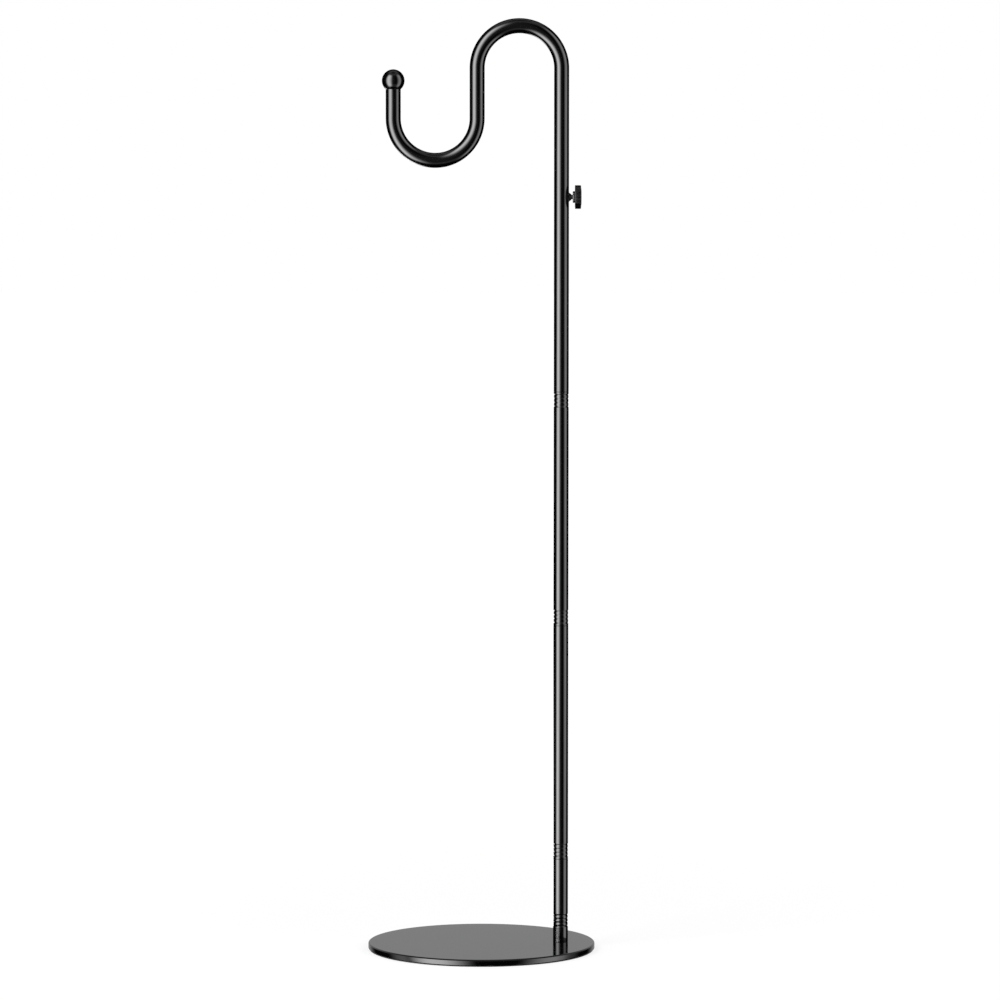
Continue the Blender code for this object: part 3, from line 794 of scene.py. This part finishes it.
stud_start = screw_low.x - POLE_X
stud_end = screw_high.x - POLE_X
ring_count = round((stud_end - stud_start) / THREAD_PITCH * THREAD_STEPS)
stud_rings = [
    (SCREW_RADIUS, stud_start + (stud_end - stud_start) * index / ring_count)
    for index in range(ring_count + 1)
]
stud = spun_up("threaded_stud", stud_rings, THREAD_SIDES)
for vertex in stud.data.vertices:
    turn = math.atan2(vertex.co.y, vertex.co.x) / (2 * math.pi)
    phase = (vertex.co.z / THREAD_PITCH - turn) % 1
    dip = abs(2 * phase - 1)
    ratio = 1 - THREAD_DEPTH * dip / SCREW_RADIUS
    vertex.co.x *= ratio
    vertex.co.y *= ratio
lay_along_x(stud)
finish_piece(stud, screw_black, "thumb_screw", ["clamp_screw"])

# %% [markdown]
# ## The knob
#
# The knob is a moulded disc with a shallow scalloped rim for the fingers and a fluted hub
# towards the pole. Both outlines start as circles with a whole number of points for each
# flute. All points that lie equally far from a crest are picked together and scaled in by
# the same amount, so a handful of moves presses all the flutes at once. Extrude gives the
# thickness, bevel the moulded edge, and two insets the gentle dome of the face. The hub's
# round needs one ring in its middle, which lies about 0.3 of the round in from each side.

# %% Model the knob
KNOB_LOBES = 12
POINTS_PER_LOBE = 16
SCALLOP_DEPTH = 0.0006
KNOB_THICKNESS = 0.0069
KNOB_DOME = 0.0005
DOME_INSET = 0.0022
DOME_SHARES = (0.35, 0.65)
FRONT_NORMAL = 0.99
KNOB_EDGE = 0.0007
KNOB_BACK_EDGE = 0.0003
HUB_RADIUS = 0.0062
HUB_ROUND = 0.0006
ROUND_MIDDLE = 0.3
HUB_FLUTES = 16
POINTS_PER_FLUTE = 8
FLUTE_DEPTH = 0.00035
knob_radius = (knob_high.z - knob_low.z) / 2
knob_front = knob_high.x - POLE_X
knob_back = knob_front - KNOB_THICKNESS
hub_back = knob_low.x - POLE_X
rim_front = knob_front - KNOB_DOME


def press_flutes(count, points, depth, radius):
    """In edit mode, scales in the points between the crests of a round piece about Z."""
    flute_angle = 2 * math.pi / count
    point_angle = flute_angle / points

    def from_crest(vertex):
        angle = math.atan2(vertex.co.y, vertex.co.x) % flute_angle
        return min(angle, flute_angle - angle)

    for step in range(1, points // 2 + 1):
        pick("VERT", lambda vertex: abs(from_crest(vertex) - step * point_angle) < point_angle / 4)
        dip = depth * (1 - math.cos(step * point_angle * count)) / 2
        ratio = 1 - dip / radius
        bpy.ops.transform.resize(value=(ratio, ratio, 1), center_override=(0, 0, 0))


start_clean()
bpy.ops.mesh.primitive_circle_add(
    vertices=KNOB_LOBES * POINTS_PER_LOBE,
    radius=knob_radius,
    fill_type="NGON",
    location=(0, 0, knob_back),
)
knob = bpy.context.object
knob.name = "scalloped_knob"
bpy.ops.object.transform_apply(location=True, rotation=True, scale=True)
bpy.ops.object.mode_set(mode="EDIT")
press_flutes(KNOB_LOBES, POINTS_PER_LOBE, SCALLOP_DEPTH, knob_radius)
bpy.ops.mesh.select_mode(type="FACE")
bpy.ops.mesh.select_all(action="SELECT")
bpy.ops.mesh.extrude_region_move(TRANSFORM_OT_translate={"value": (0, 0, rim_front - knob_back)})
for height, round_off in ((knob_back, KNOB_BACK_EDGE), (rim_front, KNOB_EDGE)):
    pick("EDGE", lambda edge: flat_ring(edge, height))
    bpy.ops.mesh.bevel(offset=round_off, segments=4, affect="EDGES")
for share in DOME_SHARES:
    pick("FACE", lambda face: face.normal.z > FRONT_NORMAL and len(face.verts) > POINTS_PER_LOBE)
    bpy.ops.mesh.inset(thickness=DOME_INSET, depth=KNOB_DOME * share)
bpy.ops.object.mode_set(mode="OBJECT")

hub = spun_up(
    "hub",
    [
        (HUB_RADIUS - HUB_ROUND, hub_back),
        (HUB_RADIUS - HUB_ROUND * ROUND_MIDDLE, hub_back + HUB_ROUND * ROUND_MIDDLE),
        (HUB_RADIUS, hub_back + HUB_ROUND),
        (HUB_RADIUS, knob_back + KNOB_THICKNESS / 2),
    ],
    HUB_FLUTES * POINTS_PER_FLUTE,
)
bpy.ops.object.mode_set(mode="EDIT")
press_flutes(HUB_FLUTES, POINTS_PER_FLUTE, FLUTE_DEPTH, HUB_RADIUS)
bpy.ops.object.mode_set(mode="OBJECT")
combine(knob, hub, "UNION")
lay_along_x(knob)
finish_piece(knob, plastic, "thumb_screw", ["clamp_knob"])

# %% [markdown]
# ## The pieces that stay as they are
#
# The inserts, studs, sleeve, plug and the small pressure pad are plain turnings that
# nothing shows. Their solids already have the right shape, so they keep it and only get
# their real finish.

# %% Dress the hidden pieces
HIDDEN_STEEL = (
    "foot_insert",
    "lower_joint_stud",
    "lower_joint_insert",
    "upper_joint_stud",
    "upper_joint_insert",
    "mast_sleeve",
    "tip_plug",
)


def dress(node, material):
    """Gives a solid of the frame its finish and leaves its shape."""
    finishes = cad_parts[node].data.materials
    finishes.clear()
    finishes.append(material)


for node in HIDDEN_STEEL:
    dress(node, zinc)
dress("clamp_pad", nylon)
print(len(HIDDEN_STEEL), "hidden pieces are zinc-plated, and the clamp's pad is nylon")

# %% [markdown]
# ## The white all round
#
# The stand is photographed on pure white. The world is white wherever the camera, a
# mirror or a clear piece looks at it, and gives a plain, even light everywhere else.
#
# Cycles would also aim rays at the world by itself, past whatever only mirrors can see.
# That would put a veil on the gloss, so the world is only met by rays that find it.

# %% Set the white
def seen_rays(material_tree):
    """Camera, glossy and transmission rays added up, as one socket."""
    path = material_tree.nodes.new("ShaderNodeLightPath")
    total = path.outputs["Is Camera Ray"]
    for name in ("Is Glossy Ray", "Is Transmission Ray"):
        add = material_tree.nodes.new("ShaderNodeMath")
        add.operation = "ADD"
        add.use_clamp = True
        material_tree.links.new(total, add.inputs[0])
        material_tree.links.new(path.outputs[name], add.inputs[1])
        total = add.outputs[0]
    return total


WORLD_DIFFUSE_LEVEL = 0.5
world = bpy.data.worlds.new("white_studio")
bpy.context.scene.world = world
world.use_nodes = True
tree = world.node_tree
level = tree.nodes.new("ShaderNodeMapRange")
level.inputs["To Min"].default_value = WORLD_DIFFUSE_LEVEL
tree.links.new(seen_rays(tree), level.inputs["Value"])
tree.nodes["Background"].inputs["Color"].default_value = linear("#FFFFFF")
tree.links.new(level.outputs["Result"], tree.nodes["Background"].inputs["Strength"])
world.cycles.sampling_method = "NONE"
print("the white world gives", WORLD_DIFFUSE_LEVEL, "of its light to matt surfaces")

# %% [markdown]
# ## The floor
#
# The floor is pale and keeps a soft shadow: part of its white is its own, the rest is the
# light that falls on it, and only that part can be shaded. Near the stand the two together
# just reach white, so the shadow under the disc's edge shows. Further off less light
# falls, and the floor's own part grows, so that it stays as white as the world behind it.

# %% Lay the floor
FLOOR_SIZE = 30
FLOOR_DROP = 0.0002
NEAR_AND_FAR = (0.3, 3.5)
OWN_WHITE_NEAR = 0.785
OWN_WHITE_FAR = 0.92
start_clean()
bpy.ops.mesh.primitive_plane_add(size=FLOOR_SIZE, location=(0, 0, -FLOOR_DROP))
floor = bpy.context.object
floor.name = "floor"
floor_paint, shader = new_material("pale_floor", "#8C8C8C", Roughness=0.9, Specular_IOR_Level=0.0)
place = add_node(floor_paint, "ShaderNodeTexCoord").outputs["Object"]
distance = add_node(floor_paint, "ShaderNodeVectorMath", {0: place}, operation="LENGTH")
own_white = add_node(
    floor_paint,
    "ShaderNodeMapRange",
    {"Value": distance.outputs["Value"]},
    From_Min=NEAR_AND_FAR[0],
    From_Max=NEAR_AND_FAR[1],
    To_Min=OWN_WHITE_NEAR,
    To_Max=OWN_WHITE_FAR,
)
links = {0: seen_rays(floor_paint.node_tree), 1: own_white.outputs["Result"]}
own_glow = add_node(floor_paint, "ShaderNodeMath", links, operation="MULTIPLY")
floor_paint.node_tree.links.new(own_glow.outputs[0], shader.inputs["Emission Strength"])
shader.inputs["Emission Color"].default_value = linear("#FFFFFF")
floor.data.materials.append(floor_paint)
floor.visible_glossy = False
print("the floor lies", 1000 * FLOOR_DROP, "mm under the stand")

# %% [markdown]
# ## Two soft lamps
#
# Two square lamps give the plain light its direction, the left one twice as strong. They
# don't show in the gloss, whose streaks are painted in the next steps. To Track Quat
# turns a lamp so that it shines along a line, here the one to the stand's middle.

# %% Hang the lamps
LAMP_AIM = Vector((0, 0, 0.5))
LAMP_SIZE = 1.6
LEFT_LAMP_PLACE = (-2.2, -2.2, 2.4)
LEFT_LAMP_WATTS = 60
RIGHT_LAMP_PLACE = (2.6, -1.6, 2.0)
RIGHT_LAMP_WATTS = 30


def soft_lamp(name, place, watts):
    """A square area lamp that faces the stand and doesn't show in the gloss."""
    lamp = bpy.data.objects.new(name, bpy.data.lights.new(name, "AREA"))
    lamp.data.size = LAMP_SIZE
    lamp.data.energy = watts
    lamp.location = place
    lamp.rotation_euler = (LAMP_AIM - Vector(place)).to_track_quat("-Z", "Y").to_euler()
    lamp.visible_camera = False
    lamp.visible_glossy = False
    bpy.context.scene.collection.objects.link(lamp)


soft_lamp("left_lamp", LEFT_LAMP_PLACE, LEFT_LAMP_WATTS)
soft_lamp("right_lamp", RIGHT_LAMP_PLACE, RIGHT_LAMP_WATTS)
print("the lamps give", LEFT_LAMP_WATTS, "and", RIGHT_LAMP_WATTS, "watts")

# %% [markdown]
# ## What the tubes mirror
#
# In a studio, black gloss is lit by what stands round it. Black walls keep its edges
# dark, a tall bright softbox on the left draws the main streak down each tube, and a
# dimmer one on the right draws the second. Both fade softly at their sides. A faint
# ceiling and table glow in the bends. One low softbox stands behind the stand, for whoever
# looks at it from there. It stays so low and narrow that the front hardly mirrors it.
#
# All that is painted on the inside of a big drum that only mirror-like rays see. It
# neither hides the white nor changes the plain light on the other pieces. Each patch is a
# band between two azimuths, where 0 degrees is towards the camera and more is to the
# camera's right, times a band between two heights in metres. A band is given by four
# places: still dark, fully bright, still bright and dark again.

# %% List the tubes' patches of light
ALL_ROUND = (-181, -180, 180, 181)
SOFTBOX_HEIGHTS = (-5.0, -1.2, 3.0, 6.6)
LEFT_ACROSS = (-84, -52, -45, -4)
LEFT_STRENGTH = 11.5
RIGHT_ACROSS = (36, 70, 77, 102)
RIGHT_STRENGTH = 3.5
FRONT_ACROSS = (-60, -15, 0, 24)
FRONT_GLOW = 0.14
CEILING_HEIGHTS = (3.5, 7.0, 30.0, 31.0)
CEILING_GLOW = 0.5
TABLE_ACROSS = (-110, -80, 70, 100)
TABLE_HEIGHTS = (-6.0, -4.0, -2.0, -0.8)
TABLE_GLOW = 0.35
BACK_ACROSS = (186, 198, 206, 222)
BACK_HEIGHTS = (-2.4, -1.5, -0.35, 0.0)
BACK_STRENGTH = 4.5
TUBE_STUDIO = [
    (LEFT_ACROSS, SOFTBOX_HEIGHTS, LEFT_STRENGTH),
    (RIGHT_ACROSS, SOFTBOX_HEIGHTS, RIGHT_STRENGTH),
    (FRONT_ACROSS, SOFTBOX_HEIGHTS, FRONT_GLOW),
    (ALL_ROUND, CEILING_HEIGHTS, CEILING_GLOW),
    (TABLE_ACROSS, TABLE_HEIGHTS, TABLE_GLOW),
    (BACK_ACROSS, BACK_HEIGHTS, BACK_STRENGTH),
]
print("the tubes mirror", len(TUBE_STUDIO), "patches of light")

# %% [markdown]
# ## What the base mirrors
#
# The base lies there like a mirror. From some sides it would throw a whole softbox into
# the camera and look white. A photographer keeps the lamps off it with black flags and
# stands grey card behind it, so the base gets patches of its own. The softboxes are only
# low down, where the base's side mirrors them and its top doesn't. Each has a wing, a
# faint glow further round, and a backdrop glows behind the stand. They keep the two ends
# of the side from black, because the ends look sideways and back. The top mirrors grey
# card all round, and the ceiling for whoever looks down on it.
#
# A tube mirrors the base too, and the studio once more in it. Those rays meet a third list
# with the two tall softboxes alone, the right one dimmer, so that the streaks go on down
# to the pole's foot.

# %% List the base's patches of light
BASE_SIDE_HEIGHTS = (-6.0, -4.0, 0.0, 0.1)
CARD_HEIGHTS = (0.0, 0.05, 1.0, 4.0)
CARD_GREY = 0.5
LEFT_ON_BASE = 9.7
LEFT_WING_ACROSS = (-108, -87, -84, -76)
LEFT_WING_GLOW = 1.4
RIGHT_WING_ACROSS = (84, 92, 98, 118)
RIGHT_WING_GLOW = 0.5
BACKDROP_ACROSS = (135, 155, 205, 225)
BACKDROP_GLOW = 0.42
RIGHT_SEEN_TWICE = 0.9
BASE_STUDIO = [
    (LEFT_ACROSS, BASE_SIDE_HEIGHTS, LEFT_ON_BASE),
    (LEFT_WING_ACROSS, BASE_SIDE_HEIGHTS, LEFT_WING_GLOW),
    (RIGHT_ACROSS, BASE_SIDE_HEIGHTS, RIGHT_STRENGTH),
    (RIGHT_WING_ACROSS, BASE_SIDE_HEIGHTS, RIGHT_WING_GLOW),
    (BACKDROP_ACROSS, BASE_SIDE_HEIGHTS, BACKDROP_GLOW),
    (ALL_ROUND, CARD_HEIGHTS, CARD_GREY),
    (ALL_ROUND, CEILING_HEIGHTS, CEILING_GLOW),
]
SEEN_TWICE = [
    (LEFT_ACROSS, SOFTBOX_HEIGHTS, LEFT_STRENGTH),
    (RIGHT_ACROSS, SOFTBOX_HEIGHTS, RIGHT_SEEN_TWICE),
]
print("the base mirrors", len(BASE_STUDIO), "patches, and", len(SEEN_TWICE), "that are seen twice")

# %% [markdown]
# ## Painting a drum
#
# A band is the product of two Map Range nodes that fade smoothly, one in and one out. A
# patch is the product of two bands, and the patches are added up, each times its strength.
#
# The azimuth comes from Arctan2 of the place on the drum, in degrees from -180 to 180. A
# patch across the back is measured from 0 to 360 instead. Light Path's Ray Depth counts a
# ray's bounces: 1 for what is mirrored once, 2 for what is mirrored twice. The smaller
# drum gets a transparent shader on top, which lets rays through to the larger one.

# %% Helpers for the drums
DRUM_RADIUS = 3.0
DRUM_HEIGHT = 24.0
FULL_TURN = 360
ACROSS_THE_BACK = 185
ONE_OR_TWO_BOUNCES = 1.5


def band(material, value, places):
    """1 between the two middle places of a value, fading to 0 at the outer two, as a socket."""
    dark, bright, still_bright, dark_again = places
    rise, fall = (
        add_node(
            material,
            "ShaderNodeMapRange",
            {"Value": value},
            interpolation_type="SMOOTHSTEP",
            From_Min=unlit,
            From_Max=lit,
        )
        for unlit, lit in ((dark, bright), (dark_again, still_bright))
    )
    links = {0: rise.outputs[0], 1: fall.outputs[0]}
    return add_node(material, "ShaderNodeMath", links, operation="MULTIPLY").outputs[0]


def add_up(material, terms):
    """The sum of products: each term is two values that are multiplied, sockets or numbers."""
    total = 0
    for factors in terms:
        step = add_node(material, "ShaderNodeMath", operation="MULTIPLY_ADD")
        for socket, value in zip(step.inputs, (*factors, total)):
            if isinstance(value, (int, float)):
                socket.default_value = value
            else:
                material.node_tree.links.new(value, socket)
        total = step.outputs[0]
    return total


def studio_drum(name, radius, patches, patches_seen_twice, clear):
    """A drum round the stand that only glossy rays see, painted with its patches of light."""
    start_clean()
    bpy.ops.mesh.primitive_cylinder_add(
        vertices=96, radius=radius, depth=DRUM_HEIGHT, end_fill_type="NGON"
    )
    drum = bpy.context.object
    drum.name = name
    for kind in ("camera", "diffuse", "transmission", "volume_scatter", "shadow"):
        setattr(drum, "visible_" + kind, False)
    paint, shader = new_material(name + "_paint", "#000000", Roughness=1.0, Specular_IOR_Level=0.0)
    shader.inputs["Emission Color"].default_value = linear("#FFFFFF")
    place = add_node(paint, "ShaderNodeTexCoord").outputs["Object"]
    sideways, backwards, height = add_node(paint, "ShaderNodeSeparateXYZ", {"Vector": place}).outputs
    forwards = add_up(paint, [(backwards, -1)])
    angle = add_node(paint, "ShaderNodeMath", {0: sideways, 1: forwards}, operation="ARCTAN2")
    degrees = add_node(paint, "ShaderNodeMath", {0: angle.outputs[0]}, operation="DEGREES")
    azimuth = degrees.outputs[0]
    wrapped = add_node(paint, "ShaderNodeMath", {0: azimuth}, operation="WRAP")
    wrapped.inputs[1].default_value = FULL_TURN
    wrapped.inputs[2].default_value = 0

    def painted(group):
        """All patches of a list added up, as a socket."""
        terms = []
        for across, up, strength in group:
            measure = wrapped.outputs[0] if max(across) > ACROSS_THE_BACK else azimuth
            both = add_up(paint, [(band(paint, measure, across), band(paint, height, up))])
            terms.append((both, strength))
        return add_up(paint, terms)

    light = painted(patches)
    if patches_seen_twice:
        depth = add_node(paint, "ShaderNodeLightPath").outputs["Ray Depth"]
        once = add_node(paint, "ShaderNodeMath", {0: depth}, operation="LESS_THAN")
        once.inputs[1].default_value = ONE_OR_TWO_BOUNCES
        more = add_up(paint, [(once.outputs[0], -1), (1, 1)])
        light = add_up(paint, [(light, once.outputs[0]), (painted(patches_seen_twice), more)])
    paint.node_tree.links.new(light, shader.inputs["Emission Strength"])
    if clear:
        links = {0: shader.outputs[0], 1: add_node(paint, "ShaderNodeBsdfTransparent").outputs[0]}
        both = add_node(paint, "ShaderNodeAddShader", links)
        surface = paint.node_tree.nodes["Material Output"].inputs["Surface"]
        paint.node_tree.links.new(both.outputs[0], surface)
    drum.data.materials.append(paint)
    return drum


print("a studio drum is", 2 * DRUM_RADIUS, "m across and", DRUM_HEIGHT, "m high")

# %% [markdown]
# ## Which piece sees which drum
#
# The photographer's flags are left out, because Blender's light linking decides which
# pieces a light falls on, and a glowing mesh counts as a light. The first drum lights
# every piece but the base, and the second one, a little larger, lights only the base.

# %% Set up the drums
BASE_DRUM_RADIUS = 1.02 * DRUM_RADIUS


def light_only(drum, pieces, state):
    """Light linking: the drum lights these pieces only, or all but these."""
    group = bpy.data.collections.new(drum.name + "_receivers")
    for piece in pieces:
        group.objects.link(piece)
    for entry in group.collection_objects:
        entry.light_linking.link_state = state
    drum.light_linking.receiver_collection = group


tube_drum = studio_drum("tube_studio", DRUM_RADIUS, TUBE_STUDIO, None, clear=True)
light_only(tube_drum, [disc], "EXCLUDE")
base_drum = studio_drum("base_studio", BASE_DRUM_RADIUS, BASE_STUDIO, SEEN_TWICE, clear=False)
light_only(base_drum, [disc], "INCLUDE")
print("drums:", tube_drum.name, "and", base_drum.name)
